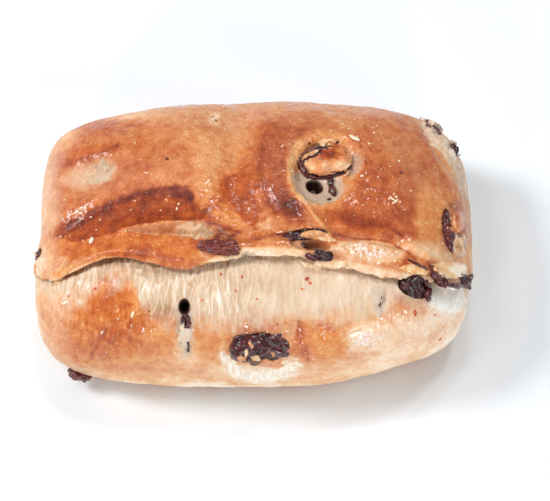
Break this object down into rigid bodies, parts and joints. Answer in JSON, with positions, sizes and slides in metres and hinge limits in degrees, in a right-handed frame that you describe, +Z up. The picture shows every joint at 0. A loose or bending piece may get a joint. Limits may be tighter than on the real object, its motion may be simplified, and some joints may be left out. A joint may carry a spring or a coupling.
{
  "type": "raisin roll",
  "caption": "Oblong soft bun with a domed browned top torn open along the front, and raisins set in its crust.",
  "frame": {"origin": "middle of the whole roll's box, on the surface that it stands on", "axes": "+X along the roll, +Y to its back, away from the torn front, and +Z up"},
  "size_m": [0.1079, 0.0736, 0.0422],
  "materials": {
    "crust": "baked crust, satin where glazed, with pale open crumb in the tear",
    "raisin": "dark wrinkled raisin skin, moist"
  },
  "bodies": {
    "root": {"bread": "crust", "raisin_front": "raisin", "raisin_seam": "raisin", "raisin_under_lip": "raisin", "raisin_crack": "raisin", "raisin_hollow": "raisin", "raisin_gap": "raisin", "raisin_lip_a": "raisin", "raisin_lip_b": "raisin", "raisin_crater": "raisin", "raisin_side": "raisin", "raisin_corner": "raisin", "raisin_slit": "raisin", "raisin_shoulder_a": "raisin", "raisin_shoulder_b": "raisin", "raisin_left": "raisin", "raisin_back_a": "raisin", "raisin_back_b": "raisin"}
  },
  "joints": []
}
